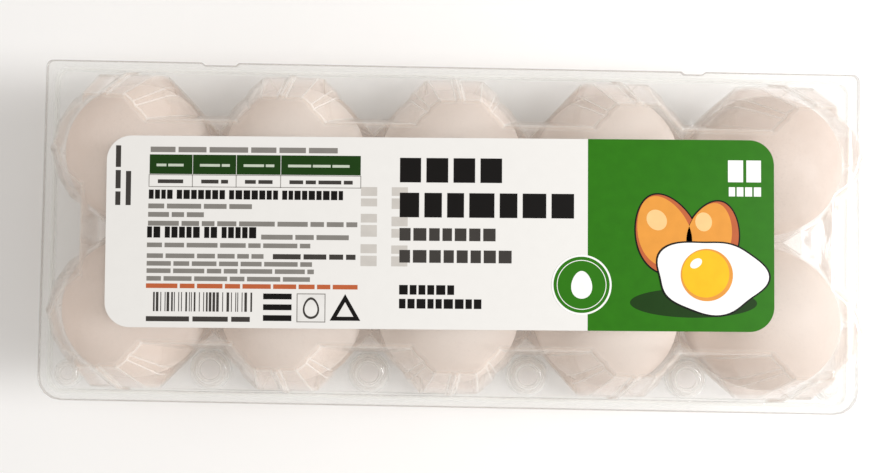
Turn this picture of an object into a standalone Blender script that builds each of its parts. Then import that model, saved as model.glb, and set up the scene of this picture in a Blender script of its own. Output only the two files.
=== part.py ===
"""An egg carton formed from clear plastic sheet, closed over ten hen's eggs, with a paper label.

Run with: blender --background --python part.py
Units are metres, +Z is up, the carton is long in X, and its hinge is at the back, at +Y.
"""

import math
import random

import bmesh
import bpy
from mathutils import Matrix, Vector

# Driving sizes of the carton
PITCH = 0.047
ROW_Y = 0.0229
COLUMNS = (-2, -1, 0, 1, 2)
ROWS = (-1, 1)
SHEET = 0.0004
LENGTH = 0.244
DEPTH = 0.1016
TRAY_FLANGE_Z = 0.034
NESTING = 0.0008
LID_TOP_Z = 0.0658
SAME_POINT = 0.00001

# Outline of the lid's flat top: how far each front and each gap between eggs lies from the middle
TOP_FRONT_HALF, TOP_FRONT_REACH = 0.0055, 0.0360
TOP_GAP_HALF, TOP_GAP_REACH = 0.01175, 0.0294
TOP_END_RADIUS, TOP_END_GAP_X = 0.0119, 0.0991
# The same outline where the walls meet the flange
FOOT_FRONT_HALF, FOOT_FRONT_REACH = 0.0084, 0.0466
FOOT_GAP_HALF, FOOT_GAP_REACH = 0.01985, 0.0339
FOOT_END_RADIUS, FOOT_END_GAP_X = 0.0227, 0.1050

# The small step in each slanting wall, as shares of its way from the front to the gap
STEP = ((0.38, 0.31), (0.48, 0.50), (0.73, 0.68))
RIB_HALF, RIB_DEPTH = 0.0012, 0.0007
EDGE_ROUND = 0.0010
# The lid's walls swell: this far up them, they have come in by only this share
SWELL_HEIGHT, SWELL_SHARE = 0.42, 0.24
END_ARC = (62, 42, 22)
END_FLAT_ANGLE = 6

# Flange, ring by ring from the inside out: how far each lies in from the ends and from the sides,
# with the height of the bead
END_INSETS = (0.0042, 0.0035, 0.0031, 0.0024, 0.0)
SIDE_INSETS = (0.0034, 0.0028, 0.0024, 0.0018, 0.0)
BEAD_HEIGHTS = (0.0, 0.0006, 0.0006, 0.0, 0.0)
CORNER_RADIUS, HINGE_CORNER_RADIUS = 0.0070, 0.0020
CORNER_STEPS = 4
NOTCH_DEPTH, NOTCH_SLOPE = 0.0008, 0.0010
NOTCHES = ((-0.0745, -0.0653), (0.0695, 0.0749))

# Press buttons along the front, in the gaps between eggs and in the two corners
BUTTON_Y = -0.0408
CORNER_BUTTON, CORNER_BUTTON_SHARE = (0.1128, -0.0426), 0.68
BUTTON_SIDES = 20
LID_BUTTON = ((0.0060, 0.0), (0.0053, 0.0018), (0.0037, 0.0026))
TRAY_BUTTON = ((0.0051, 0.0), (0.0045, 0.0013), (0.0030, 0.0020))

# Cups of the tray, from the rim down: radius and height of each ring
CUP_RINGS = ((0.0218, 0.0200), (0.0161, 0.0090), (0.0121, 0.0016), (0.0107, 0.0002))
CUP_FACET = 0.955
RIDGE_STOPS = (0.0, 0.0040, 0.0120, 0.0220, 0.0300)
RIDGE_HEIGHTS = (0.0300, 0.0300, 0.0245, 0.0240, 0.0310)

# Eggs
EGG_LENGTH, EGG_LENGTH_SPREAD = 0.0532, 0.0013
EGG_BREADTH, EGG_BREADTH_SPREAD = 0.0421, 0.0004
EGG_TAPER = 0.14
EGG_SEGMENTS, EGG_RINGS = 14, 10
EGG_CLEARANCE = 0.0006
SEAT_SAMPLES, SEAT_STEP = 40, 0.0001
EGG_SEED = 7

# Label, stuck on a little askew
LABEL_LENGTH, LABEL_DEPTH, LABEL_CORNER = 0.1740, 0.0499, 0.0065
LABEL_X, LABEL_Y, LABEL_TURN = -0.0048, 0.0007, 0.65
LABEL_THICKNESS, LABEL_GAP = 0.0003, 0.0003

# Hinge, just outside the two flanges
HINGE_OUTSET = 0.0003
HINGE_Y = DEPTH / 2 + HINGE_OUTSET
HINGE_Z = TRAY_FLANGE_Z + NESTING / 2

# Colours as linear values, with roughness and share of light let through
MATERIALS = {
    "clear_plastic": ((0.86, 0.88, 0.88, 1.0), 0.08, 0.9),
    "label_paper": ((0.87, 0.86, 0.83, 1.0), 0.45, 0.0),
    "eggshell": ((0.80, 0.66, 0.57, 1.0), 0.5, 0.0),
}


def make_material(name):
    colour, roughness, transmission = MATERIALS[name]
    material = bpy.data.materials.new(name)
    material.use_nodes = True
    shader = material.node_tree.nodes["Principled BSDF"]
    shader.inputs["Base Color"].default_value = colour
    shader.inputs["Roughness"].default_value = roughness
    shader.inputs["Transmission Weight"].default_value = transmission
    return material


def between(start, end, along, across):
    """The point at these shares of the way from start to end in X and in Y."""
    return (start[0] + (end[0] - start[0]) * along, start[1] + (end[1] - start[1]) * across)


def side_half(level, detailed):
    """Half the outline beside one egg, from the middle of its front to the gap, as (along, outwards)."""
    if level == "top":
        front, gap = (TOP_FRONT_HALF, TOP_FRONT_REACH), (TOP_GAP_HALF, TOP_GAP_REACH)
    else:
        front, gap = (FOOT_FRONT_HALF, FOOT_FRONT_REACH), (FOOT_GAP_HALF, FOOT_GAP_REACH)
    if not detailed:
        return [front, between(front, gap, 0.5, 0.5), gap]
    rib = [(0.0, front[1] + RIB_DEPTH), (RIB_HALF, front[1])]
    return rib + [front] + [between(front, gap, *share) for share in STEP] + [gap]


def side_outline(level, detailed):
    """The outline beside one egg of the middle columns, from its gap at +X to its gap at -X."""
    half = side_half(level, detailed)
    mirrored = [(-along, outwards) for along, outwards in half]
    return half[::-1] + (mirrored[1:] if detailed else mirrored)


def corner_outline(level, detailed):
    """The outline round the last egg at +X, from the gap at the carton's end to the gap at its -X side."""
    radius = TOP_END_RADIUS if level == "top" else FOOT_END_RADIUS
    gap_x = TOP_END_GAP_X if level == "top" else FOOT_END_GAP_X
    half = side_half(level, detailed)
    gap_half = PITCH / 2 - half[-1][0]
    middle = (-END_FLAT_ANGLE, 0, END_FLAT_ANGLE) if detailed else (0,)
    angles = [-angle for angle in END_ARC[1:]] + list(middle) + list(END_ARC[::-1])
    points = [(gap_x - COLUMNS[-1] * PITCH, gap_half)]
    for angle in angles:
        reach = radius + (RIB_DEPTH if detailed and angle == 0 else 0.0)
        turned = math.radians(angle)
        points.append((reach * math.cos(turned), ROW_Y + reach * math.sin(turned)))
    outline = side_outline(level, detailed)
    front = half[2] if detailed else half[0]
    return points + outline[outline.index(front):]


def placed(points, column, row):
    """The cell's (along, outwards) points in the carton, turned so that a whole ring runs one way."""
    side = row if abs(column) < COLUMNS[-1] else int(math.copysign(1, column))
    flat = [(column * PITCH + side * along, row * outwards) for along, outwards in points]
    return flat if side * row > 0 else flat[::-1]


def cell_outline(column, row, level, detailed):
    corner = abs(column) == COLUMNS[-1]
    outline = corner_outline(level, detailed) if corner else side_outline(level, detailed)
    return placed(outline, column, row)


def outline_ring(level, detailed, inset=0.0):
    """The whole crenellated outline, anticlockwise, taken in by a small inset."""
    ring = []
    for row in ROWS[::-1]:
        for column in (COLUMNS[::-1] if row > 0 else COLUMNS):
            ring += cell_outline(column, row, level, detailed)
    if not inset:
        return ring
    taken_in = []
    for index, point in enumerate(ring):
        before, after = Vector(ring[index - 1]), Vector(ring[(index + 1) % len(ring)])
        here = Vector(point)
        edge_in, edge_out = (here - before).normalized(), (after - here).normalized()
        normal = Vector((-edge_in.y - edge_out.y, edge_in.x + edge_out.x)).normalized()
        widen = max(0.5, normal.dot(Vector((-edge_in.y, edge_in.x))))
        taken_in.append(tuple(here + normal * inset / widen))
    return taken_in


def rim_ring(index):
    """One ring of the flange, anticlockwise from the front's right corner, with the hinge's notches."""
    half_x = LENGTH / 2 - END_INSETS[index]
    half_y = DEPTH / 2 - SIDE_INSETS[index]
    outermost = index == len(END_INSETS) - 1
    ring = []
    for corner, (sign_x, sign_y) in enumerate(((1, -1), (1, 1), (-1, 1), (-1, -1))):
        at_hinge = sign_y > 0 and outermost
        radius = HINGE_CORNER_RADIUS if at_hinge else CORNER_RADIUS - END_INSETS[index]
        centre = (sign_x * (half_x - radius), sign_y * (half_y - radius))
        for step in range(CORNER_STEPS + 1):
            angle = math.radians(-90 + 90 * corner + 90 * step / CORNER_STEPS)
            ring.append((centre[0] + radius * math.cos(angle), centre[1] + radius * math.sin(angle)))
        if corner == 1:
            for low, high in NOTCHES[::-1]:
                depth = NOTCH_DEPTH if outermost else 0.0
                ring += [
                    (high + NOTCH_SLOPE, half_y),
                    (high, half_y - depth),
                    (low, half_y - depth),
                    (low - NOTCH_SLOPE, half_y),
                ]
    return ring


def add_loop(mesh, points, z):
    """Vertices at these points, joined into a closed loop of edges."""
    verts = [mesh.verts.new((x, y, z)) for x, y in points]
    edges = [mesh.edges.new((vert, verts[index - 1])) for index, vert in enumerate(verts)]
    return verts, edges


def join_loops(mesh, outer, inner):
    """Quads between two loops that have the same number of vertices."""
    for index, vert in enumerate(outer):
        mesh.faces.new((outer[index - 1], vert, inner[index], inner[index - 1]))


def add_button(mesh, centre, profile, share, z):
    """A press button's dome at a share of its full width, which returns the edges of its foot."""
    loops = []
    for full_radius, height in profile:
        radius = share * full_radius
        ring = []
        for step in range(BUTTON_SIDES):
            angle = 2 * math.pi * step / BUTTON_SIDES
            ring.append((centre[0] + radius * math.cos(angle), centre[1] + radius * math.sin(angle)))
        loops.append(add_loop(mesh, ring, z + height))
    for (outer, _), (inner, _) in zip(loops, loops[1:]):
        join_loops(mesh, outer, inner)
    mesh.faces.new(loops[-1][0])
    return loops[0][1]


def add_flange(mesh, foot_edges, button, z):
    """The flat flange round the walls' foot, with the buttons, the bead and the lip."""
    loops = []
    for index, height in enumerate(BEAD_HEIGHTS):
        loops.append(add_loop(mesh, rim_ring(index), z + height))
    for (inner, _), (outer, _) in zip(loops, loops[1:]):
        join_loops(mesh, outer, inner)
    edges = list(foot_edges) + loops[0][1]
    for column in COLUMNS[:-1]:
        edges += add_button(mesh, ((column + 0.5) * PITCH, BUTTON_Y), button, 1.0, z)
    for side in (-1, 1):
        centre = (side * CORNER_BUTTON[0], CORNER_BUTTON[1])
        edges += add_button(mesh, centre, button, CORNER_BUTTON_SHARE, z)
    bmesh.ops.triangle_fill(mesh, use_beauty=True, use_dissolve=False, edges=edges)


def add_object(name, mesh, material, origin=(0.0, 0.0, 0.0)):
    bmesh.ops.translate(mesh, verts=mesh.verts, vec=-Vector(origin))
    data = bpy.data.meshes.new(name)
    mesh.to_mesh(data)
    mesh.free()
    data.materials.append(material)
    thing = bpy.data.objects.new(name, data)
    thing.location = origin
    bpy.context.scene.collection.objects.link(thing)
    return thing


def thicken(thing):
    """Gives a formed sheet its thickness, half to each side, and presses its lowest face flat."""
    solidify = thing.modifiers.new("sheet", "SOLIDIFY")
    solidify.thickness = SHEET
    solidify.offset = 0.0
    solidify.use_even_offset = False
    solidify.use_quality_normals = True
    evaluated = thing.evaluated_get(bpy.context.evaluated_depsgraph_get())
    thing.data = bpy.data.meshes.new_from_object(evaluated)
    thing.modifiers.clear()
    for vert in thing.data.vertices:
        if thing.location.z + vert.co.z < SHEET / 4:
            vert.co.z = -thing.location.z


def make_lid(material):
    mesh = bmesh.new()
    flange_z = TRAY_FLANGE_Z + NESTING
    top, _ = add_loop(mesh, outline_ring("top", True, EDGE_ROUND), LID_TOP_Z)
    edge, _ = add_loop(mesh, outline_ring("top", True), LID_TOP_Z - EDGE_ROUND)
    foot, foot_edges = add_loop(mesh, outline_ring("foot", True), flange_z)
    swell_z = flange_z + SWELL_HEIGHT * (LID_TOP_Z - EDGE_ROUND - flange_z)
    swell = [between(low.co, high.co, SWELL_SHARE, SWELL_SHARE) for low, high in zip(foot, edge)]
    swelling, _ = add_loop(mesh, swell, swell_z)
    mesh.faces.new(top)
    join_loops(mesh, edge, top)
    join_loops(mesh, swelling, edge)
    join_loops(mesh, foot, swelling)
    add_flange(mesh, foot_edges, LID_BUTTON, flange_z)
    bmesh.ops.recalc_face_normals(mesh, faces=mesh.faces)
    lid = add_object("lid", mesh, material, (0.0, HINGE_Y, HINGE_Z))
    thicken(lid)
    return lid


def cell_border(corner):
    """The edge of one cup's cell, as (along, outwards, height), from the middle of the carton round."""
    half = PITCH / 2
    rising = list(zip(RIDGE_STOPS, RIDGE_HEIGHTS))
    if corner:
        border = [(stop - half, 0.0, height) for stop, height in rising]
        outline = corner_outline("foot", False)
    else:
        ridge = rising[:3]
        border = [(stop - half, 0.0, height) for stop, height in ridge]
        border += [(0.0, 0.0, RIDGE_HEIGHTS[3])]
        border += [(half - stop, 0.0, height) for stop, height in ridge[::-1]]
        border += [(half, stop, height) for stop, height in rising[1:]]
        outline = side_outline("foot", False)
    border += [(along, outwards, TRAY_FLANGE_Z) for along, outwards in outline]
    border += [(-half, stop, height) for stop, height in rising[:0:-1]]
    return border


def add_cup(mesh, column, row):
    corner = abs(column) == COLUMNS[-1]
    side = math.copysign(1, column) if corner else 1
    centre = Vector((column * PITCH, row * ROW_Y))
    border = [
        Vector((column * PITCH + side * along, row * outwards, height))
        for along, outwards, height in cell_border(corner)
    ]
    outer = [mesh.verts.new(point) for point in border]
    for radius, height in CUP_RINGS:
        ring = []
        for point in border:
            spot = centre + (point.to_2d() - centre).normalized() * radius
            ring.append(mesh.verts.new((spot.x, spot.y, height)))
        join_loops(mesh, outer, ring)
        outer = ring
    mesh.faces.new(outer)


def add_ridge_ends(mesh):
    """The small sloping face between two cups, where their ridge meets a gap in the outline."""
    ridge_end, height = RIDGE_STOPS[-1], RIDGE_HEIGHTS[-1]
    half_width = PITCH / 2 - FOOT_GAP_HALF
    for column in COLUMNS[:-1]:
        x = (column + 0.5) * PITCH
        for row in ROWS:
            corners = [(x, row * ridge_end, height)]
            corners += [(x + side * half_width, row * FOOT_GAP_REACH, TRAY_FLANGE_Z) for side in (-1, 1)]
            mesh.faces.new([mesh.verts.new(corner) for corner in corners])
    last_post = (COLUMNS[-1] - 0.5) * PITCH
    for side in (-1, 1):
        corners = [(side * (last_post + ridge_end), 0.0, height)]
        corners += [(side * FOOT_END_GAP_X, end * half_width, TRAY_FLANGE_Z) for end in (-1, 1)]
        mesh.faces.new([mesh.verts.new(corner) for corner in corners])


def make_tray(material):
    mesh = bmesh.new()
    for column in COLUMNS:
        for row in ROWS:
            add_cup(mesh, column, row)
    add_ridge_ends(mesh)
    _, foot_edges = add_loop(mesh, outline_ring("foot", False), TRAY_FLANGE_Z)
    add_flange(mesh, foot_edges, TRAY_BUTTON, TRAY_FLANGE_Z)
    bmesh.ops.remove_doubles(mesh, verts=mesh.verts, dist=SAME_POINT)
    bmesh.ops.recalc_face_normals(mesh, faces=mesh.faces)
    tray = add_object("tray", mesh, material)
    thicken(tray)
    return tray


def egg_radius(height, length, breadth):
    """The egg's radius at a height above its narrow end."""
    along = 2 * height / length - 1
    if abs(along) >= 1:
        return 0.0
    return breadth / 2 * math.sqrt(1 - along * along) * (1 + EGG_TAPER * along)


def cup_radius(height):
    """The narrowest clear radius of a cup at a height, between its rings' flats."""
    rings = CUP_RINGS[::-1]
    for (low_radius, low), (high_radius, high) in zip(rings, rings[1:]):
        if low <= height <= high:
            share = (height - low) / (high - low)
            return CUP_FACET * (low_radius + (high_radius - low_radius) * share)
    return CUP_FACET * rings[-1][0]


def seat_height(length, breadth):
    """How high the egg's narrow end is once the egg sits in its cup."""
    tip = CUP_RINGS[-1][1] + SHEET
    samples = [CUP_RINGS[0][1] * step / SEAT_SAMPLES for step in range(SEAT_SAMPLES + 1)]
    while any(
        egg_radius(height - tip, length, breadth) > cup_radius(height) - EGG_CLEARANCE
        for height in samples
    ):
        tip += SEAT_STEP
    return tip


def make_egg(name, column, row, draw, material):
    length = EGG_LENGTH + draw.uniform(-1, 1) * EGG_LENGTH_SPREAD
    breadth = EGG_BREADTH + draw.uniform(-1, 1) * EGG_BREADTH_SPREAD
    mesh = bmesh.new()
    bmesh.ops.create_uvsphere(mesh, u_segments=EGG_SEGMENTS, v_segments=EGG_RINGS, radius=1)
    for vert in mesh.verts:
        swell = breadth / 2 * (1 + EGG_TAPER * vert.co.z)
        vert.co = Vector((vert.co.x * swell, vert.co.y * swell, vert.co.z * length / 2))
    bmesh.ops.rotate(mesh, verts=mesh.verts, matrix=Matrix.Rotation(draw.uniform(0, math.tau), 3, "Z"))
    spot = Vector((column * PITCH, row * ROW_Y, seat_height(length, breadth) + length / 2))
    bmesh.ops.translate(mesh, verts=mesh.verts, vec=spot)
    egg = add_object(name, mesh, material, spot)
    egg.data.shade_smooth()
    return egg


def make_label(material):
    outline = []
    half_x, half_y = LABEL_LENGTH / 2 - LABEL_CORNER, LABEL_DEPTH / 2 - LABEL_CORNER
    turned = Matrix.Rotation(math.radians(LABEL_TURN), 2)
    for corner, (sign_x, sign_y) in enumerate(((1, -1), (1, 1), (-1, 1), (-1, -1))):
        for step in range(CORNER_STEPS + 1):
            angle = math.radians(-90 + 90 * corner + 90 * step / CORNER_STEPS)
            x = sign_x * half_x + LABEL_CORNER * math.cos(angle)
            y = sign_y * half_y + LABEL_CORNER * math.sin(angle)
            outline.append(turned @ Vector((x, y)) + Vector((LABEL_X, LABEL_Y)))
    mesh = bmesh.new()
    verts, _ = add_loop(mesh, outline, LID_TOP_Z + SHEET / 2 + LABEL_GAP)
    sheet = mesh.faces.new(verts)
    raised = bmesh.ops.extrude_face_region(mesh, geom=[sheet])["geom"]
    lifted = [item for item in raised if isinstance(item, bmesh.types.BMVert)]
    bmesh.ops.translate(mesh, verts=lifted, vec=(0.0, 0.0, LABEL_THICKNESS))
    bmesh.ops.recalc_face_normals(mesh, faces=mesh.faces)
    return add_object("label", mesh, material, (0.0, HINGE_Y, HINGE_Z))


def main():
    for thing in list(bpy.data.objects):
        bpy.data.objects.remove(thing, do_unlink=True)
    plastic = make_material("clear_plastic")
    shell = make_material("eggshell")
    make_tray(plastic)
    make_lid(plastic)
    make_label(make_material("label_paper"))
    draw = random.Random(EGG_SEED)
    number = 0
    for row in ROWS:
        for column in COLUMNS:
            number += 1
            make_egg(f"egg_{number:02d}", column, row, draw, shell)


main()
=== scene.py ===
"""Dresses the packed egg carton: clear formed sheet, hen's eggs and a printed label, on a plain stage.

Laid out as a Blender add-on and run as a script. Units are metres, in the packed model's own frame.
"""

import math
import random

import bmesh
import bpy
from mathutils import Matrix, Vector


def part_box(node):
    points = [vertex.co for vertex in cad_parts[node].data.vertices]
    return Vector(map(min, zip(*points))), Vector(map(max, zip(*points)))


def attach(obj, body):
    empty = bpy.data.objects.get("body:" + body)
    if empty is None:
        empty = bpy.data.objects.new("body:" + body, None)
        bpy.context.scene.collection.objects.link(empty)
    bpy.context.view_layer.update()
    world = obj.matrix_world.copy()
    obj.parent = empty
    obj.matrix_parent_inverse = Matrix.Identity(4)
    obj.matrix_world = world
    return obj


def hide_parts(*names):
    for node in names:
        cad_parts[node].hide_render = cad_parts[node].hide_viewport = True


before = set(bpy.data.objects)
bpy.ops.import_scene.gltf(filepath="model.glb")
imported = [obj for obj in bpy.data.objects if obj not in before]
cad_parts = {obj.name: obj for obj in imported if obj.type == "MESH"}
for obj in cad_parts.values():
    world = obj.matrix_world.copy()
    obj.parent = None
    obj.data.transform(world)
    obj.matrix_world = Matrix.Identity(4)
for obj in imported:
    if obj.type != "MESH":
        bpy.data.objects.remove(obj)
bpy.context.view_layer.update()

bl_info = {
    "name": "Clear egg carton",
    "version": (1, 0, 0),
    "blender": (4, 5, 0),
    "location": "3D View > Sidebar > Egg carton",
    "description": "Makes a shut clear egg carton with its eggs and printed label",
    "category": "Object",
}

MILLIMETRE = 0.001
# Cloudy noise seldom leaves this range
NOISE_RANGE = (0.3, 0.7)
# Corners of the packed meshes nearer than this are one corner
SAME_POINT = 0.00002

# Height of each flange's outer side: the tray's faces down and the lid's faces up
TRAY_FLANGE_Z, LID_FLANGE_Z = 0.0338, 0.0350
FLANGE_Z = (TRAY_FLANGE_Z + LID_FLANGE_Z) / 2
# The flange's bead lies this far in from the ends and the sides, and rises this much
BEAD_INSET_X, BEAD_INSET_Y, BEAD_HEIGHT = 0.0044, 0.0036, 0.0006
# The bead's upper edges are painted this white, as whitening and painted highlight, where the crest of a
# rounded fold is 1
BEAD_WHITE_AND_HIGHLIGHT = 0.8
# A face of the cut edge is nearly upright, at most this many thicknesses tall and this near the outline
RIM_UPRIGHT, RIM_TALL, RIM_WIDE = 0.2, 1.2, 0.0076
# Faces turned against each other by less than this are merged before the folds are rounded
FLAT_ANGLE = math.radians(0.7)
# The lid's top is rounded twice, 1 mm apart: the upper fold lies within this depth, and its white line of
# whitening and painted highlight shows less
TOP_FOLD_DEPTH, TOP_FOLD_SHARE = 0.0005, 0.25
# A fold no higher than this over the flange is at a wall's foot, and is rounded less
FOOT_HEIGHT, FOOT_SHARE, FOOT_SEGMENTS = 0.0004, 0.5, 2

# Share of the walls' waviness that the flange keeps
FLANGE_WAVES = 0.08
# Upright part of the normal at which the sheet counts as level, and at which it counts as steep
LEVEL_NORMAL, STEEP_NORMAL = 0.96, 0.75
# Share of the light that one face reflects straight on, and how much more at a grazing angle
GLOSS_STRAIGHT, GLOSS_GRAZING = 0.045, 0.50

# An egg widens by this share towards its blunt upper end
EGG_TAPER = 0.14
# The most that a patch of bloom covers
BLOOM_SHARE = 0.55
# A pore's floor and rim, as shares of the distance between pores, and how dark its floor is painted, as shade
# in the pit
PORE_FLOOR, PORE_RIM, PORE_SHADE = 0.10, 0.28, 0.90

# The label is stuck on a little askew, turned by this angle about its middle
LABEL_TURN = math.radians(0.65)
# Steps in the rounding of each of the label's corners
LABEL_CORNER_STEPS = 14
# The green panel begins this many millimetres from the label's left edge
PANEL_LEFT = 125.5
# Widths of a line's blocks and the gap between them, as shares of one step, with three gaps between words
BLOCK_WIDTHS, BLOCK_GAP = (0.75, 1.15), 0.24
# Words of small print are this long and stand this far apart, in heights of their line
WORD_LENGTHS, WORD_GAP = (1.6, 5.6), 0.42
PRINT_SEED = 11
OVAL_SEGMENTS = 72
# A printed shape fills this share of its layer, so that shapes on two layers never touch
LAYER_FILL = 0.9

# The key light is a soft disk at the right, aimed at the carton
KEY_SIZE, KEY_PLACE, KEY_AIM = 0.34, (0.66, -0.01, 0.63), (0.02, 0.0, 0.03)
# The camera looks down from left of the middle, a little tilted and rolled, as the photograph was taken
CAMERA_ASIDE, CAMERA_SHIFT = 0.0162, 0.0565
CAMERA_TILT, CAMERA_ROLL = math.radians(1.4), math.radians(1.1)
LENS, SENSOR = 33.2, 36.0
# A line of sight through both walls crosses more than eight faces of clear sheet
CLEAR_FACES = 32


def linear(code):
    """The linear red, green and blue of an sRGB hex code."""
    parts = [int(code[start:start + 2], 16) / 255 for start in (0, 2, 4)]
    return [part / 12.92 if part <= 0.04045 else ((part + 0.055) / 1.055) ** 2.4 for part in parts]


def colour_property(name, description, code):
    return bpy.props.FloatVectorProperty(
        name=name, description=description, subtype="COLOR", size=3, min=0.0, max=1.0, default=linear(code)
    )


def size_property(name, description, default):
    return bpy.props.FloatProperty(
        name=name, description=description, unit="LENGTH", subtype="DISTANCE", min=0.0, default=default
    )


def share_property(name, description, default):
    return bpy.props.FloatProperty(
        name=name, description=description, subtype="FACTOR", min=0.0, max=1.0, default=default
    )


class CartonSheet(bpy.types.PropertyGroup):
    """The clear sheet that the tray and the lid are formed from."""

    thickness: size_property("Thickness", "Thickness of the formed sheet", 0.0004)
    fold_round: size_property("Fold rounding", "How far a fold's rounding reaches from it", 0.00045)
    fold_segments: bpy.props.IntProperty(
        name="Fold segments", description="Steps in each fold's rounding", default=2, min=1, max=6
    )
    fold_angle: bpy.props.FloatProperty(
        name="Fold angle", description="A fold sharper than this is rounded", subtype="ANGLE", default=0.33
    )
    tint: colour_property("Tint", "What one face of the sheet lets through", "FEFEFE")
    haze_colour: colour_property("Haze colour", "Colour of the light the flange scatters", "F8F9F5")
    # Painted reflection: the eggs' warm light, painted into the haze of the walls and the cups
    painted_egg_light: colour_property("Warm haze", "Colour of the light the walls catch from the eggs", "EAD5C5")
    haze: share_property("Haze", "Share of the light that one face of the flange scatters", 0.08)
    lid_haze: share_property("Lid haze", "The same share for one face of the lid's walls", 0.18)
    cup_haze: share_property("Cup haze", "The same share for one face of the cups", 0.26)
    # Painted highlight and stress whitening: the white that the fold crests are painted with
    fold_white_and_highlight: share_property("Fold haze", "Share of the light that a fold's crest scatters", 0.30)
    gloss_roughness: share_property("Gloss roughness", "Roughness of the sheet's shine", 0.07)
    lip: size_property("Lip", "Width of the grey line along the cut edge", 0.00035)
    # Painted shade: the grey of the cut edge and its share
    lip_painted_shade: colour_property("Lip colour", "Grey that the cut edge gathers", "B9B2AB")
    lip_shade_share: share_property("Lip haze", "Share of the light that the cut edge scatters", 0.38)
    wave_length: size_property("Wave length", "Distance between the slow waves in the sheet", 0.016)
    wave_height: size_property("Wave height", "Height of the slow waves in the sheet", 0.00009)


class EggShell(bpy.types.PropertyGroup):
    """The eggs' shape and shell."""

    segments: bpy.props.IntProperty(
        name="Segments", description="Faces round each egg", default=56, min=16, max=128
    )
    rings: bpy.props.IntProperty(name="Rings", description="Faces up each egg", default=40, min=12, max=96)
    light: colour_property("Light shell", "The palest shell colour", "F8F1EA")
    dark: colour_property("Dark shell", "The deepest shell colour", "F1E5DC")
    bloom: colour_property("Bloom", "Colour of the chalky patches", "F8EFE8")
    pore_spacing: size_property("Pore spacing", "Distance between pores", 0.0011)


class LabelPrint(bpy.types.PropertyGroup):
    """The label's paper, inks and corner."""

    corner: size_property("Corner", "Radius of the label's corners", 0.0065)
    layer: size_property("Ink layer", "Height of one printed layer", 0.00002)
    paper: colour_property("Paper", "Coated white paper", "E6E5E2")
    white: colour_property("White ink", "Opaque white", "F7F7F5")
    green: colour_property("Green ink", "The panel's green", "2D7410")
    dark_green: colour_property("Dark green ink", "Table headings and shadows", "1B3C10")
    pale_green: colour_property("Pale green ink", "Print on the headings", "C3CDBC")
    black: colour_property("Black ink", "Titles and small print", "131110")
    grey: colour_property("Grey ink", "Thin rules", "8F8C88")
    stamp: colour_property("Stamp ink", "Thin stamped marks, as pale as they look from afar", "C9C5BF")
    soft_black: colour_property("Thin black ink", "Lighter titles and bold small print", "3F3C39")
    fine_print: colour_property("Fine print", "Small print, as pale as it looks from afar", "85827D")
    orange: colour_property("Orange ink", "Egg drawing", "E39A42")
    rust: colour_property("Rust ink", "Egg drawing's shade and a line of print", "BC623B")
    yellow: colour_property("Yellow ink", "Yolk", "F3BF23")
    cream: colour_property("Cream ink", "Egg drawing's light side", "F6C98B")


class StageLook(bpy.types.PropertyGroup):
    """The floor, the light and the camera."""

    floor: colour_property("Floor", "Plain pale table top", "FAFAF9")
    floor_side: size_property("Floor side", "Side of the square floor", 4.0)
    key_power: bpy.props.FloatProperty(
        name="Key light", description="Power of the soft light at the right", unit="POWER", default=6.1
    )
    key_colour: colour_property("Key colour", "Colour of the soft light at the right", "FDFDFE")
    fill: bpy.props.FloatProperty(name="Fill", description="Strength of the light all round", default=0.645)
    fill_colour: colour_property("Fill colour", "Colour of the light all round", "FFFBF7")
    camera_height: size_property("Camera height", "Height of the camera over the floor", 0.281)


def add_node(tree, kind, inputs=None, **settings):
    """Adds a node with these settings, and fills each input with a value or a link."""
    made = tree.nodes.new(kind)
    for name, value in settings.items():
        setattr(made, name, value)
    for name, value in (inputs or {}).items():
        if isinstance(value, bpy.types.NodeSocket):
            tree.links.new(value, made.inputs[name])
        else:
            made.inputs[name].default_value = value
    return made


def blank_material(name):
    """A material with only its output node left in its tree."""
    material = bpy.data.materials.new(name)
    material.use_nodes = True
    tree = material.node_tree
    tree.nodes.clear()
    return material, tree, add_node(tree, "ShaderNodeOutputMaterial")


def opaque(colour):
    return (*colour, 1.0)


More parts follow.
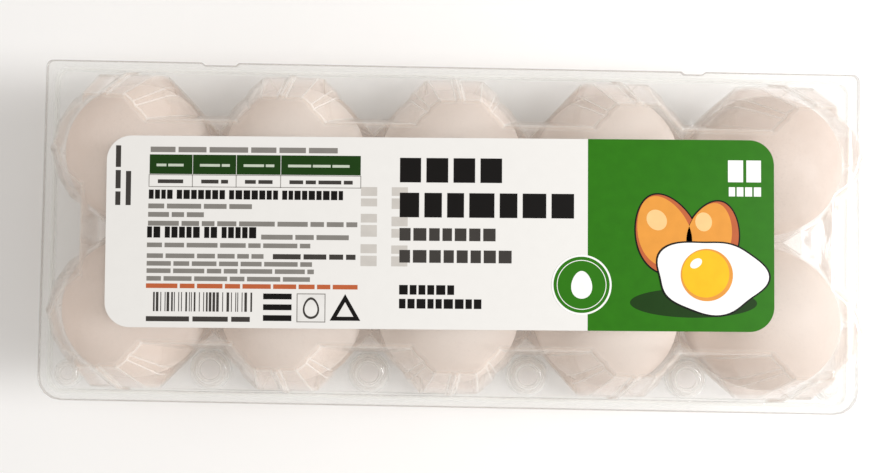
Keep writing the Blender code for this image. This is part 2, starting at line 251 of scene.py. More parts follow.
def formed_pet(name, sheet, wall_haze):
    """Clear PET sheet, vacuum formed: a hard gloss that waves slowly and a faint milky haze, with the eggs'
    warm light painted into the walls' haze, folds painted white (stress whitening and a painted highlight)
    and a cut edge painted grey as shade."""
    material, tree, output = blank_material(name)
    whereabouts = add_node(tree, "ShaderNodeTexCoord")
    place = whereabouts.outputs["Object"]
    # Above and below the flange the sheet is drawn out and wavy, and the flange itself is pressed flat
    height = add_node(tree, "ShaderNodeSeparateXYZ", {"Vector": place}).outputs["Z"]
    over = add_node(tree, "ShaderNodeMath", {0: height, 1: FLANGE_Z}, operation="SUBTRACT")
    away = add_node(tree, "ShaderNodeMath", {0: over.outputs[0]}, operation="ABSOLUTE")
    wall = add_node(
        tree, "ShaderNodeMapRange",
        {"Value": away.outputs[0], "From Min": 1 * MILLIMETRE, "From Max": 4 * MILLIMETRE},
    ).outputs["Result"]
    wavy = add_node(
        tree, "ShaderNodeMath", {0: wall, 1: 1 - FLANGE_WAVES, 2: FLANGE_WAVES}, operation="MULTIPLY_ADD"
    ).outputs[0]
    # The sheet sags a little between its folds as it cools, which bends each reflection
    slow = add_node(
        tree, "ShaderNodeTexNoise", {"Vector": place, "Scale": 1 / sheet.wave_length, "Detail": 1.0}
    )
    waves = add_node(
        tree, "ShaderNodeBump",
        {"Height": slow.outputs["Fac"], "Strength": wavy, "Distance": sheet.wave_height},
    )
    # Drawing marks from the mould, a few tenths of a millimetre wide, drawn 2 mm apart so that they show
    fine = add_node(
        tree, "ShaderNodeTexNoise", {"Vector": place, "Scale": 1 / (2 * MILLIMETRE), "Detail": 2.0}
    )
    marks = add_node(
        tree, "ShaderNodeBump",
        {
            "Height": fine.outputs["Fac"], "Strength": wavy, "Distance": 0.004 * MILLIMETRE,
            "Normal": waves.outputs["Normal"],
        },
    )
    normal = marks.outputs["Normal"]

    # A steep wall was drawn out further than the flat top, and is milkier
    upright = add_node(tree, "ShaderNodeSeparateXYZ", {"Vector": whereabouts.outputs["Normal"]})
    level = add_node(tree, "ShaderNodeMath", {0: upright.outputs["Z"]}, operation="ABSOLUTE")
    steepness = add_node(
        tree, "ShaderNodeMapRange",
        {"Value": level.outputs[0], "From Min": LEVEL_NORMAL, "From Max": STEEP_NORMAL},
    )
    milk = add_node(
        tree, "ShaderNodeMath", {0: wall, 1: steepness.outputs["Result"]}, operation="MULTIPLY"
    )
    haze = add_node(
        tree, "ShaderNodeMath", {0: milk.outputs[0], 1: wall_haze - sheet.haze, 2: sheet.haze},
        operation="MULTIPLY_ADD",
    )
    # The walls stand close to the eggs: their haze is painted in the eggs' warm colour, a painted reflection
    # of the eggs' light
    haze_and_painted_egg_light = add_node(
        tree, "ShaderNodeMix", {0: wall, 6: opaque(sheet.haze_colour), 7: opaque(sheet.painted_egg_light)},
        data_type="RGBA",
    )
    # Folds are drawn thin and stressed, so they show as fine white lines: partly stress whitening, partly a
    # painted highlight along each crest
    fold = add_node(tree, "ShaderNodeAttribute", attribute_name="fold", attribute_type="GEOMETRY")
    crest_white_and_highlight = add_node(
        tree, "ShaderNodeMath", {0: fold.outputs["Fac"], 1: sheet.fold_white_and_highlight}, operation="MULTIPLY"
    )
    # The cut edge turns light away along the sheet and looks dark, so it is painted as a thin grey line of
    # shade
    cut = add_node(tree, "ShaderNodeAttribute", attribute_name="cut", attribute_type="GEOMETRY")
    painted_cut_shade = add_node(
        tree, "ShaderNodeMath", {0: cut.outputs["Fac"], 1: sheet.lip_shade_share}, operation="MULTIPLY"
    )
    body = add_node(tree, "ShaderNodeBsdfTransparent", {"Color": opaque(sheet.tint)})
    for share, colour in (
        (haze, haze_and_painted_egg_light.outputs[2]),
        (crest_white_and_highlight, opaque(sheet.haze_colour)),
        (painted_cut_shade, opaque(sheet.lip_painted_shade)),
    ):
        scattered = add_node(tree, "ShaderNodeBsdfDiffuse", {"Color": colour, "Normal": normal})
        body = add_node(
            tree, "ShaderNodeMixShader",
            {0: share.outputs[0], 1: body.outputs[0], 2: scattered.outputs[0]},
        )

    # PET reflects little straight on and far more at a grazing angle, though less than a true mirror
    facing = add_node(tree, "ShaderNodeLayerWeight", {"Blend": 0.5, "Normal": normal})
    steep = add_node(tree, "ShaderNodeMath", {0: facing.outputs["Facing"], 1: 5.0}, operation="POWER")
    reflected = add_node(
        tree, "ShaderNodeMath", {0: steep.outputs[0], 1: GLOSS_GRAZING, 2: GLOSS_STRAIGHT},
        operation="MULTIPLY_ADD",
    )
    shine = add_node(
        tree, "ShaderNodeBsdfAnisotropic",
        {"Color": (1.0, 1.0, 1.0, 1.0), "Roughness": sheet.gloss_roughness, "Normal": normal},
    )
    whole = add_node(
        tree, "ShaderNodeMixShader",
        {0: reflected.outputs[0], 1: body.outputs[0], 2: shine.outputs[0]},
    )
    tree.links.new(whole.outputs[0], output.inputs["Surface"])
    return material


def hen_eggshell(shell):
    """Hen's eggshell: chalky calcite with a soft sheen, pale patches of bloom, small pores, and each egg a
    little different in colour."""
    material, tree, output = blank_material("eggshell_cream")
    place = add_node(tree, "ShaderNodeTexCoord").outputs["Object"]
    # Slower than one egg is wide, so that whole eggs differ
    egg_to_egg = add_node(
        tree, "ShaderNodeTexNoise", {"Vector": place, "Scale": 1 / (45 * MILLIMETRE), "Detail": 0.0}
    )
    tone = add_node(
        tree, "ShaderNodeMapRange",
        {"Value": egg_to_egg.outputs["Fac"], "From Min": 0.32, "From Max": 0.68},
    )
    base = add_node(
        tree, "ShaderNodeMix",
        {0: tone.outputs["Result"], 6: opaque(shell.light), 7: opaque(shell.dark)}, data_type="RGBA",
    )
    # Bloom lies in cloudy patches some 6 mm across
    cloud = add_node(
        tree, "ShaderNodeTexNoise",
        {"Vector": place, "Scale": 1 / (6 * MILLIMETRE), "Detail": 4.0, "Roughness": 0.6},
    )
    patch = add_node(
        tree, "ShaderNodeMapRange",
        {"Value": cloud.outputs["Fac"], "From Min": 0.42, "From Max": 0.72, "To Max": BLOOM_SHARE},
    )
    bloomed = add_node(
        tree, "ShaderNodeMix",
        {0: patch.outputs["Result"], 6: base.outputs[2], 7: opaque(shell.bloom)}, data_type="RGBA",
    )
    # Real pores are 0.02 mm wide and 1 mm apart; they are drawn wider, or none would show
    pores = add_node(
        tree, "ShaderNodeTexVoronoi", {"Vector": place, "Scale": 1 / shell.pore_spacing}, feature="F1"
    )
    pit = add_node(
        tree, "ShaderNodeMapRange",
        {
            "Value": pores.outputs["Distance"], "From Min": PORE_FLOOR, "From Max": PORE_RIM,
            "To Min": PORE_SHADE, "To Max": 1.0,
        },
    )
    # Each pore's floor is painted darker, as shade in the pit
    colour = add_node(
        tree, "ShaderNodeMix", {0: 1.0, 6: bloomed.outputs[2], 7: pit.outputs["Result"]},
        data_type="RGBA", blend_type="MULTIPLY",
    )
    # Grains of calcite leave the shell finely uneven, drawn 0.9 mm apart so that they show
    grain = add_node(
        tree, "ShaderNodeTexNoise", {"Vector": place, "Scale": 1 / (0.9 * MILLIMETRE), "Detail": 3.0}
    )
    rough = add_node(
        tree, "ShaderNodeBump",
        {"Height": grain.outputs["Fac"], "Strength": 0.5, "Distance": 0.05 * MILLIMETRE},
    )
    pitted = add_node(
        tree, "ShaderNodeBump",
        {
            "Height": pit.outputs["Result"], "Strength": 0.6, "Distance": 0.15 * MILLIMETRE,
            "Normal": rough.outputs["Normal"],
        },
    )
    surface = add_node(
        tree, "ShaderNodeBsdfPrincipled",
        {
            "Base Color": colour.outputs[2], "Roughness": 0.5, "Specular IOR Level": 0.4,
            "Normal": pitted.outputs["Normal"],
        },
    )
    tree.links.new(surface.outputs["BSDF"], output.inputs["Surface"])
    return material


def coated_paper(name, colour, mottle, roughness):
    """Coated label paper, plain or under a flat printed ink: a satin surface with a faint fibre grain, and
    ink that lies a little unevenly."""
    material, tree, output = blank_material(name)
    place = add_node(tree, "ShaderNodeTexCoord").outputs["Object"]
    low, high = NOISE_RANGE
    # Ink and coating vary over some 3 mm
    uneven = add_node(
        tree, "ShaderNodeTexNoise", {"Vector": place, "Scale": 1 / (3 * MILLIMETRE), "Detail": 4.0}
    )
    depth = add_node(
        tree, "ShaderNodeMapRange",
        {"Value": uneven.outputs["Fac"], "From Min": low, "From Max": high, "To Min": 1.0 - mottle},
    )
    shade = add_node(
        tree, "ShaderNodeMix", {0: 1.0, 6: opaque(colour), 7: depth.outputs["Result"]},
        data_type="RGBA", blend_type="MULTIPLY",
    )
    # Paper fibres are some 0.4 mm apart where they show through the coating
    fibres = add_node(
        tree, "ShaderNodeTexNoise", {"Vector": place, "Scale": 1 / (0.4 * MILLIMETRE), "Detail": 3.0}
    )
    grain = add_node(
        tree, "ShaderNodeBump",
        {"Height": fibres.outputs["Fac"], "Strength": 0.35, "Distance": 0.02 * MILLIMETRE},
    )
    surface = add_node(
        tree, "ShaderNodeBsdfPrincipled",
        {
            "Base Color": shade.outputs[2], "Roughness": roughness, "Specular IOR Level": 0.12,
            "Normal": grain.outputs["Normal"],
        },
    )
    tree.links.new(surface.outputs["BSDF"], output.inputs["Surface"])
    return material


def painted_board(colour):
    """A painted board as a plain table top: matt, with a faint cloudiness."""
    material, tree, output = blank_material("painted_board_pale")
    place = add_node(tree, "ShaderNodeTexCoord").outputs["Object"]
    low, high = NOISE_RANGE
    cloud = add_node(
        tree, "ShaderNodeTexNoise", {"Vector": place, "Scale": 1 / (120 * MILLIMETRE), "Detail": 3.0}
    )
    depth = add_node(
        tree, "ShaderNodeMapRange",
        {"Value": cloud.outputs["Fac"], "From Min": low, "From Max": high, "To Min": 0.985},
    )
    shade = add_node(
        tree, "ShaderNodeMix", {0: 1.0, 6: opaque(colour), 7: depth.outputs["Result"]},
        data_type="RGBA", blend_type="MULTIPLY",
    )
    surface = add_node(
        tree, "ShaderNodeBsdfPrincipled",
        {"Base Color": shade.outputs[2], "Roughness": 0.7, "Specular IOR Level": 0.3},
    )
    tree.links.new(surface.outputs["BSDF"], output.inputs["Surface"])
    return material


def place_piece(name, mesh, material, body, nodes=(), smooth=True):
    """Makes a finished mesh a piece that rides on a body and stands for these nodes."""
    data = bpy.data.meshes.new(name)
    mesh.to_mesh(data)
    mesh.free()
    data.materials.append(material)
    thing = bpy.data.objects.new(name, data)
    bpy.context.scene.collection.objects.link(thing)
    if smooth:
        data.shade_smooth()
    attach(thing, body)
    if nodes:
        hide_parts(*nodes)
    return thing


def outer_side(node, upwards, thickness):
    """The outer side of a node's sheet, as one merged mesh with no thickness."""
    mesh = bmesh.new()
    mesh.from_mesh(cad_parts[node].data)
    bmesh.ops.remove_doubles(mesh, verts=mesh.verts, dist=SAME_POINT)
    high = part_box(node)[1]
    rim = []
    for face in mesh.faces:
        middle = face.calc_center_median()
        heights = [vert.co.z for vert in face.verts]
        upright = abs(face.normal.z) <= RIM_UPRIGHT
        thin = max(heights) - min(heights) <= RIM_TALL * thickness
        near = min(high.x - abs(middle.x), high.y - abs(middle.y)) < RIM_WIDE
        if upright and thin and near:
            rim.append(face)
    bmesh.ops.delete(mesh, geom=rim, context="FACES_ONLY")
    sign = 1 if upwards else -1
    start = max(mesh.verts, key=lambda vert: sign * vert.co.z)
    kept, waiting = {start}, [start]
    while waiting:
        for face in waiting.pop().link_faces:
            for vert in face.verts:
                if vert not in kept:
                    kept.add(vert)
                    waiting.append(vert)
    bmesh.ops.delete(mesh, geom=[vert for vert in mesh.verts if vert not in kept], context="VERTS")
    return mesh


def round_folds(mesh, edges, reach, segments, fold):
    """Rounds these folds, and marks each crest in the layer that paints it white, partly as stress whitening
    and partly as a painted highlight.
    """
    made = bmesh.ops.bevel(
        mesh, geom=edges, offset=reach, offset_type="OFFSET", segments=segments, profile=0.5,
        affect="EDGES", clamp_overlap=False, loop_slide=True, material=-1,
    )
    rounding = set(made["faces"])
    for vert in made["verts"]:
        if vert.is_valid and all(face in rounding for face in vert.link_faces):
            vert[fold] = 1.0


def form_sheet(sheet, node, upwards, flange_z, wall_haze):
    """A formed sheet with rounded folds painted white (stress whitening and a painted highlight) and a lip
    painted grey as shade, from the outer side of its CAD node.
    """
    mesh = outer_side(node, upwards, sheet.thickness)
    if not mesh.faces:
        raise RuntimeError(f"{node} has no outer side")
    bmesh.ops.dissolve_limit(
        mesh, angle_limit=FLAT_ANGLE, use_dissolve_boundaries=False, verts=mesh.verts, edges=mesh.edges
    )
    fold = mesh.verts.layers.float.new("fold")
    sign = 1 if upwards else -1
    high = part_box(node)[1]
    walls, feet = [], []
    for edge in mesh.edges:
        if len(edge.link_faces) != 2 or edge.calc_face_angle(0.0) <= sheet.fold_angle:
            continue
        heights = [sign * (vert.co.z - flange_z) for vert in edge.verts]
        reach = max(
            max(abs(vert.co.x) - high.x + BEAD_INSET_X, abs(vert.co.y) - high.y + BEAD_INSET_Y)
            for vert in edge.verts
        )
        if reach > 0:
            # The bead's two upper edges carry the pale line of whitening and painted highlight, and its feet
            # none
            for vert in edge.verts:
                if vert.co.z - flange_z > BEAD_HEIGHT / 2:
                    vert[fold] = BEAD_WHITE_AND_HIGHLIGHT
        elif max(heights) > FOOT_HEIGHT:
            walls.append(edge)
        else:
            feet.append(edge)
    round_folds(mesh, walls, sheet.fold_round, sheet.fold_segments, fold)
    feet = [edge for edge in feet if edge.is_valid]
    round_folds(mesh, feet, sheet.fold_round * FOOT_SHARE, FOOT_SEGMENTS, fold)
    if upwards:
        for vert in mesh.verts:
            if high.z - vert.co.z < TOP_FOLD_DEPTH:
                vert[fold] *= TOP_FOLD_SHARE
    bmesh.ops.inset_region(
        mesh, faces=mesh.faces[:], use_boundary=True, use_even_offset=True, thickness=sheet.lip
    )
    cut = mesh.verts.layers.float.new("cut")
    for edge in mesh.edges:
        if len(edge.link_faces) == 1:
            for vert in edge.verts:
                vert[cut] = 1.0
    material = formed_pet("formed_pet_" + node, sheet, wall_haze)
    thing = place_piece(node + "_sheet", mesh, material, node, [node])
    wall = thing.modifiers.new("sheet", "SOLIDIFY")
    wall.thickness = sheet.thickness
    wall.offset = -1.0
    wall.use_even_offset = False
    wall.use_quality_normals = True
    even = thing.modifiers.new("even shading", "WEIGHTED_NORMAL")
    even.keep_sharp = True
    return thing


class EGG_CARTON_OT_form_tray(bpy.types.Operator):
    """Form the tray with its ten cups and its flange"""

    bl_idname = "egg_carton.form_tray"
    bl_label = "Form tray"

    def execute(self, context):
        sheet = context.scene.carton_sheet
        form_sheet(sheet, "tray", False, TRAY_FLANGE_Z, sheet.cup_haze)
        return {"FINISHED"}


class EGG_CARTON_OT_form_lid(bpy.types.Operator):
    """Form the lid with its pleated walls, its press buttons and its flange"""

    bl_idname = "egg_carton.form_lid"
    bl_label = "Form lid"

    def execute(self, context):
        sheet = context.scene.carton_sheet
        form_sheet(sheet, "lid", True, LID_FLANGE_Z, sheet.lid_haze)
        return {"FINISHED"}


class EGG_CARTON_OT_lay_eggs(bpy.types.Operator):
    """Lay a smooth egg in place of each egg node"""

    bl_idname = "egg_carton.lay_eggs"
    bl_label = "Lay eggs"

    def execute(self, context):
        shell = context.scene.egg_shell
        material = hen_eggshell(shell)
        names = sorted(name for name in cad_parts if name.startswith("egg_"))
        if not names:
            raise RuntimeError("The frame holds no egg nodes")
        for name in names:
            low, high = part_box(name)
            middle = (low + high) / 2
            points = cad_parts[name].data.vertices
            radius = max((point.co - middle).to_2d().length for point in points)
            mesh = bmesh.new()
            bmesh.ops.create_uvsphere(mesh, u_segments=shell.segments, v_segments=shell.rings, radius=1)
            for vert in mesh.verts:
                swell = radius * (1 + EGG_TAPER * vert.co.z)
                vert.co = Vector((vert.co.x * swell, vert.co.y * swell, vert.co.z * (high.z - low.z) / 2))
            bmesh.ops.translate(mesh, verts=mesh.verts, vec=middle)
            place_piece(name + "_shell", mesh, material, "tray", [name])
        return {"FINISHED"}


def label_box():
    """The label's low and high corner in a frame in which it isn't turned, and that frame's place."""
    low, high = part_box("label")
    middle = Vector(((low.x + high.x) / 2, (low.y + high.y) / 2, 0.0))
    back = Matrix.Rotation(-LABEL_TURN, 4, "Z") @ Matrix.Translation(-middle)
    points = [back @ vert.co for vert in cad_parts["label"].data.vertices]
    low, high = (Vector([pick(values) for values in zip(*points)]) for pick in (min, max))
    return low, high, back.inverted()


class Printer:
    """Collects the label's printed shapes, one mesh for each ink, on thin layers over the paper.

    Places and sizes are in millimetres from the label's back left corner: along to the right, down to the
    front.
    """

    def __init__(self, look):
        low, high = label_box()[:2]
        self.left, self.back, self.top = low.x, high.y, high.z
        self.layer = look.layer
        self.inks = {}

    def mesh(self, ink):
        if ink not in self.inks:
            self.inks[ink] = bmesh.new()
        return self.inks[ink]

    def spot(self, along, down, layer):
        """The point at this place, half way up this layer."""
        z = self.top + self.layer * (layer + 0.5)
        return Vector((self.left + along * MILLIMETRE, self.back - down * MILLIMETRE, z))

    def bar(self, ink, along, down, width, height, layer=0):
        """A filled rectangle from its top left corner."""
        centre = self.spot(along + width / 2, down + height / 2, layer)
        size = Matrix.Diagonal((width * MILLIMETRE, height * MILLIMETRE, self.layer * LAYER_FILL, 1.0))
        bmesh.ops.create_cube(self.mesh(ink), size=1.0, matrix=Matrix.Translation(centre) @ size)

    def oval(self, ink, along, down, width, height, layer=0, turn=0.0, taper=0.0, waves=()):
        """A filled oval about its middle: taper makes it an egg, and waves (count, share, phase) a blob."""
        made = bmesh.ops.create_cone(
            self.mesh(ink), cap_ends=True, segments=OVAL_SEGMENTS, radius1=1.0, radius2=1.0,
            depth=self.layer * LAYER_FILL,
        )["verts"]
        centre, turned = self.spot(along, down, layer), Matrix.Rotation(turn, 3, "Z")
        for vert in made:
            angle = math.atan2(vert.co.y, vert.co.x)
            reach = 1 + sum(share * math.sin(count * angle + phase) for count, share, phase in waves)
            x = vert.co.x * reach * (1 - taper * vert.co.y) * width / 2 * MILLIMETRE
            y = vert.co.y * reach * height / 2 * MILLIMETRE
            vert.co = centre + turned @ Vector((x, y, vert.co.z))

    def triangle(self, ink, along, down, radius, layer=0):
        """A filled triangle about its middle, one corner to the back."""
        place = Matrix.Translation(self.spot(along, down, layer)) @ Matrix.Diagonal(
            (radius * MILLIMETRE, radius * MILLIMETRE, self.layer * LAYER_FILL, 1.0)
        )
        bmesh.ops.create_cone(
            self.mesh(ink), cap_ends=True, segments=3, radius1=1.0, radius2=1.0, depth=1.0, matrix=place
        )

    def blocks(self, ink, along, down, words, width, height, draw, layer=0, upright=False):
        """A line of print as plain blocks over a width: words gives the number of blocks in each word."""
        shares = [[draw.uniform(*BLOCK_WIDTHS) for _ in range(count)] for count in words]
        gaps = sum(words) - len(words) + 3 * (len(words) - 1)
        step = width / (sum(map(sum, shares)) + BLOCK_GAP * gaps)
        pen = 0.0
        for word in shares:
            for share in word:
                wide = share * step
                if upright:
                    self.bar(ink, along, down - pen - wide, height, wide, layer)
                else:
                    self.bar(ink, along + pen, down, wide, height, layer)
                pen += wide + BLOCK_GAP * step
            pen += 2 * BLOCK_GAP * step

    def line(self, ink, along, down, width, height, draw, solid=0.62, layer=0, upright=False):
        """One line of small print as plain bars, one for each word, solid being their share of its height."""
        tall = height * solid
        pen = 0.0
        while pen < width - height:
            wide = min(height * draw.uniform(*WORD_LENGTHS), width - pen)
            if upright:
                self.bar(ink, along + height - tall, down - pen - wide, tall, wide, layer)
            else:
                self.bar(ink, along + pen, down + height - tall, wide, tall, layer)
            pen += wide + height * WORD_GAP


class EGG_CARTON_OT_lay_label(bpy.types.Operator):
    """Lay the paper label on the lid's flat top"""

    bl_idname = "egg_carton.lay_label"
    bl_label = "Lay label"

    def execute(self, context):
        look = context.scene.label_print
        low, high, place = label_box()
        mesh = rounded_sheet(low, high, (look.corner, look.corner))
        bmesh.ops.transform(mesh, matrix=place, verts=mesh.verts)
        paper = coated_paper("coated_paper_white", look.paper, 0.015, 0.42)
        place_piece("label_sheet", mesh, paper, "lid", ["label"], smooth=False)
        return {"FINISHED"}


def rounded_sheet(low, high, radii):
    """A thin closed sheet that fills this box, its left and its right corners rounded by these radii."""
    mesh = bmesh.new()
    bmesh.ops.create_grid(mesh, x_segments=1, y_segments=1, size=0.5)
    middle = (low + high) / 2
    size = high - low
    for vert in mesh.verts:
        vert.co = Vector((middle.x + vert.co.x * size.x, middle.y + vert.co.y * size.y, low.z))
    for side, radius in zip((-1, 1), radii):
        ends = [vert for vert in mesh.verts if side * (vert.co.x - middle.x) > size.x / 2 - SAME_POINT]
        if radius:
            bmesh.ops.bevel(
                mesh, geom=ends, offset=radius, offset_type="OFFSET", segments=LABEL_CORNER_STEPS,
                profile=0.5, affect="VERTICES", clamp_overlap=False, material=-1,
            )
    raised = bmesh.ops.extrude_face_region(mesh, geom=mesh.faces[:])["geom"]
    lifted = [item for item in raised if isinstance(item, bmesh.types.BMVert)]
    bmesh.ops.translate(mesh, verts=lifted, vec=(0.0, 0.0, size.z))
    bmesh.ops.recalc_face_normals(mesh, faces=mesh.faces)
    return mesh


def print_table(printer, draw):
    """A small table: four dark headings over one row of cells."""
    edges = (11.2, 22.5, 33.9, 45.5, 66.4)
    printer.line("fine_print", 11.4, 2.4, 50.8, 1.9, draw, solid=0.75)
    for left, right in zip(edges, edges[1:]):
        printer.bar("dark_green", left, 4.9, right - left - 0.15, 5.1)
        inner = right - left - 3.6
        printer.line("pale_green", left + 1.8, 6.9, inner, 1.1, draw, layer=1)
        printer.line("soft_black", left + 2.2, 10.8, inner - 0.8, 1.6, draw)
    for down in (10.1, 13.2):
        printer.bar("grey", edges[0], down, edges[-1] - edges[0] - 0.15, 0.2)
    for left in edges:
        printer.bar("grey", left - 0.2, 10.1, 0.2, 3.3)


def print_small_lines(printer, draw):
    """The block of small print: bold lines, fine lines and one warm line."""
    printer.blocks("black", 11.1, 14.1, (4, 7, 7, 9), 50.6, 2.4, draw)
    for down, width in ((17.3, 27.0), (19.5, 14.5), (21.8, 54.5)):
        printer.line("fine_print", 11.0, down, width, 1.7, draw, solid=0.75)
    printer.blocks("black", 10.8, 23.7, (2, 5, 2, 5), 28.4, 2.9, draw)
    printer.line("fine_print", 40.5, 25.2, 22.8, 1.7, draw, solid=0.75)
    for down, width in ((27.5, 42.5), (30.3, 31.5), (32.3, 43.0), (34.2, 43.5), (36.2, 42.5)):
        printer.line("fine_print", 10.8, down, width, 1.6, draw, solid=0.75)
    printer.line("soft_black", 43.6, 30.2, 21.5, 1.8, draw, solid=0.75)
    printer.line("rust", 10.7, 38.2, 55.0, 1.5, draw, solid=0.8)
    for column, length in ((1.8, 15.6), (4.5, 8.9)):
        printer.line("soft_black", column, 18.2, length, 1.9, draw, upright=True, solid=0.7)
    for column in (66.4, 74.4):
        printer.blocks("stamp", column, 33.6, (2, 2, 2), 20.6, 4.2, draw, upright=True)


def print_marks(printer, draw):
    """Plain stripes with a row of small blocks under them, and three plain signs."""
    pen = 12.6
    while pen < 38.0:
        width = draw.choice((0.22, 0.22, 0.44, 0.66))
        printer.bar("soft_black", pen, 40.7, width, 5.0)
        pen += width + draw.choice((0.3, 0.5, 0.9))
    printer.line("soft_black", 10.8, 46.2, 27.0, 2.1, draw)
    for index in range(3):
        printer.bar("black", 41.2, 40.9 + 2.8 * index, 7.4, 1.5)
    for ink, inset, layer in (("grey", 0.0, 0), ("paper", 0.25, 1)):
        printer.bar(ink, 49.9 + inset, 40.8 + inset, 7.5 - 2 * inset, 7.5 - 2 * inset, layer)
    for ink, share, layer in (("soft_black", 1.0, 2), ("paper", 0.78, 3)):
        printer.oval(ink, 53.65, 44.6, 4.2 * share, 5.6 * share, layer=layer, taper=0.16)
    for ink, radius, layer in (("black", 4.6, 0), ("paper", 2.5, 1)):
        printer.triangle(ink, 62.5, 45.5, radius, layer)


def print_titles(printer, draw):
    """Large titles, two lighter lines and two small bold ones."""
    printer.blocks("black", 76.5, 5.3, (4,), 26.6, 6.4, draw, layer=1)
    printer.blocks("black", 76.5, 14.4, (7,), 45.4, 6.4, draw, layer=1)
    printer.blocks("soft_black", 76.5, 23.6, (7,), 25.0, 3.3, draw, layer=1)
    printer.blocks("soft_black", 76.5, 29.3, (8,), 29.2, 3.3, draw, layer=1)
    printer.blocks("black", 76.5, 38.4, (6,), 14.3, 2.5, draw)
    printer.blocks("black", 76.5, 42.0, (9,), 21.4, 2.5, draw)


def print_badge(printer):
    """A round green badge with a plain egg on it, over the panel's edge."""
    along, down = 123.9, 38.0
    rings = (("white", 15.6), ("green", 14.6), ("white", 12.9), ("green", 12.5))
    for layer, (ink, width) in enumerate(rings, start=2):
        printer.oval(ink, along, down, width, width, layer=layer)
    printer.oval("white", along, down, 5.4, 7.2, layer=6, taper=0.16)


def print_eggs(printer):
    """Two whole brown eggs behind a fried one, in flat colours."""
    printer.oval("dark_green", 153.0, 42.5, 33.0, 7.6, layer=1)
    whole = ((145.8, 24.6, 16.5, 22.0, 0.35), (158.0, 25.0, 14.5, 19.0, -0.25))
    for along, down, width, height, turn in whole:
        coats = (("black", 0.0, 0.0), ("rust", 0.0, 0.8), ("orange", 0.7, 3.0))
        for layer, (ink, aside, less) in enumerate(coats, start=2):
            printer.oval(
                ink, along - aside, down - aside, width - less, height - less,
                layer=layer, turn=turn, taper=0.15,
            )
        printer.oval("cream", along - 2.4, down - 3.6, width * 0.3, height * 0.26, layer=5, turn=turn + 0.4)
    splat = ((3, 0.06, 0.6), (5, 0.045, 1.9), (2, 0.05, 2.6))
    printer.oval("black", 157.4, 35.6, 28.4, 20.0, layer=6, waves=splat)
    printer.oval("white", 157.4, 35.6, 27.5, 19.1, layer=7, waves=splat)
    printer.oval("orange", 156.4, 35.2, 13.6, 13.6, layer=8)
    printer.oval("yellow", 156.1, 34.9, 12.3, 12.3, layer=9)
    printer.oval("white", 153.6, 32.2, 3.4, 2.2, layer=10, turn=0.6)


class EGG_CARTON_OT_print_label(bpy.types.Operator):
    """Print the label: a green panel with eggs, a badge, titles, small print, a table and plain signs"""

    bl_idname = "egg_carton.print_label"
    bl_label = "Print label"

    def execute(self, context):
        look = context.scene.label_print
        printer = Printer(look)
        draw = random.Random(PRINT_SEED)
        print_table(printer, draw)
        print_small_lines(printer, draw)
        print_marks(printer, draw)
        print_titles(printer, draw)
        print_badge(printer)
        print_eggs(printer)
        printer.blocks("white", 162.0, 5.3, (2,), 8.6, 5.7, draw, layer=1)
        printer.blocks("white", 162.2, 12.3, (4,), 8.4, 2.4, draw, layer=1)
        low, high, place = label_box()
        rise = (1 - LAYER_FILL) / 2 * look.layer
        panel_low = Vector((low.x + PANEL_LEFT * MILLIMETRE, low.y, high.z + rise))
        panel_high = Vector((high.x, high.y, high.z + look.layer - rise))
        panel = rounded_sheet(panel_low, panel_high, (0.0, look.corner))
        bmesh.ops.transform(panel, matrix=place, verts=panel.verts)
        material = coated_paper("offset_ink_green", look.green, 0.10, 0.36)
        place_piece("print_green_panel", panel, material, "lid", smooth=False)
        for ink, mesh in sorted(printer.inks.items()):
            bmesh.ops.transform(mesh, matrix=place, verts=mesh.verts)
            material = coated_paper("offset_ink_" + ink + "_marks", getattr(look, ink), 0.08, 0.38)
            place_piece("print_" + ink, mesh, material, "lid", smooth=False)
        return {"FINISHED"}


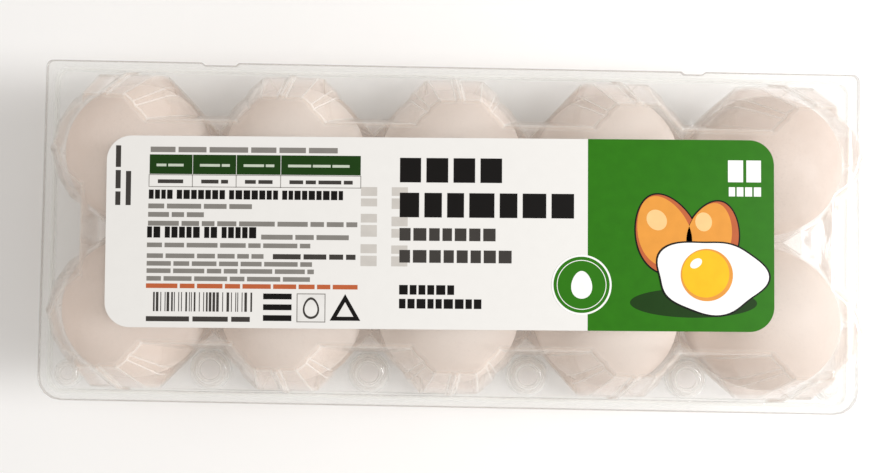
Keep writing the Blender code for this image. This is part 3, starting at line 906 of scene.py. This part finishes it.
class EGG_CARTON_OT_set_stage(bpy.types.Operator):
    """Set the floor, the soft light and the camera nearly straight above"""

    bl_idname = "egg_carton.set_stage"
    bl_label = "Set stage"

    def execute(self, context):
        look = context.scene.stage_look
        scene = context.scene
        mesh = bmesh.new()
        bmesh.ops.create_grid(mesh, x_segments=1, y_segments=1, size=look.floor_side / 2)
        data = bpy.data.meshes.new("floor")
        mesh.to_mesh(data)
        mesh.free()
        data.materials.append(painted_board(look.floor))
        floor = bpy.data.objects.new("floor", data)
        scene.collection.objects.link(floor)

        world = bpy.data.worlds.new("soft_studio")
        world.use_nodes = True
        background = world.node_tree.nodes["Background"]
        background.inputs["Color"].default_value = opaque(look.fill_colour)
        background.inputs["Strength"].default_value = look.fill
        scene.world = world

        lamp = bpy.data.lights.new("key_light", "AREA")
        lamp.shape = "DISK"
        lamp.size = KEY_SIZE
        lamp.energy = look.key_power
        lamp.color = look.key_colour
        key = bpy.data.objects.new("key_light", lamp)
        key.location = KEY_PLACE
        key.rotation_euler = (Vector(KEY_AIM) - key.location).to_track_quat("-Z", "Y").to_euler()
        key.visible_camera = False
        scene.collection.objects.link(key)

        lens = bpy.data.cameras.new("camera")
        lens.sensor_width = SENSOR
        lens.lens = LENS
        lens.shift_x = CAMERA_SHIFT
        # The shift undoes what the tilt does to the framing
        lens.shift_y = -math.tan(CAMERA_TILT) * lens.lens / lens.sensor_width
        camera = bpy.data.objects.new("camera", lens)
        aside = (-CAMERA_ASIDE * math.cos(CAMERA_ROLL), -CAMERA_ASIDE * math.sin(CAMERA_ROLL))
        camera.location = (*aside, look.camera_height)
        camera.rotation_euler = (CAMERA_TILT, 0.0, CAMERA_ROLL)
        scene.collection.objects.link(camera)
        scene.camera = camera
        scene.view_settings.view_transform = "Standard"
        scene.cycles.transparent_max_bounces = CLEAR_FACES
        return {"FINISHED"}


class EGG_CARTON_PT_panel(bpy.types.Panel):
    """The carton's pieces and looks in the sidebar"""

    bl_label = "Egg carton"
    bl_idname = "EGG_CARTON_PT_panel"
    bl_space_type = "VIEW_3D"
    bl_region_type = "UI"
    bl_category = "Egg carton"

    def draw(self, context):
        layout = self.layout
        for operator in OPERATORS:
            layout.operator(operator.bl_idname)
        for name, group in LOOKS:
            box = layout.box()
            box.label(text=group.__doc__)
            for prop in group.__annotations__:
                box.prop(getattr(context.scene, name), prop)


OPERATORS = (
    EGG_CARTON_OT_form_tray,
    EGG_CARTON_OT_form_lid,
    EGG_CARTON_OT_lay_eggs,
    EGG_CARTON_OT_lay_label,
    EGG_CARTON_OT_print_label,
    EGG_CARTON_OT_set_stage,
)
LOOKS = (
    ("carton_sheet", CartonSheet),
    ("egg_shell", EggShell),
    ("label_print", LabelPrint),
    ("stage_look", StageLook),
)


def register():
    for name, group in LOOKS:
        bpy.utils.register_class(group)
        setattr(bpy.types.Scene, name, bpy.props.PointerProperty(type=group))
    for operator in OPERATORS:
        bpy.utils.register_class(operator)
    bpy.utils.register_class(EGG_CARTON_PT_panel)


def unregister():
    bpy.utils.unregister_class(EGG_CARTON_PT_panel)
    for operator in reversed(OPERATORS):
        bpy.utils.unregister_class(operator)
    for name, group in reversed(LOOKS):
        delattr(bpy.types.Scene, name)
        bpy.utils.unregister_class(group)


def main():
    """Makes every piece in order."""
    register()
    bpy.ops.egg_carton.form_tray()
    bpy.ops.egg_carton.form_lid()
    bpy.ops.egg_carton.lay_eggs()
    bpy.ops.egg_carton.lay_label()
    bpy.ops.egg_carton.print_label()
    bpy.ops.egg_carton.set_stage()


if __name__ == "__main__":
    main()
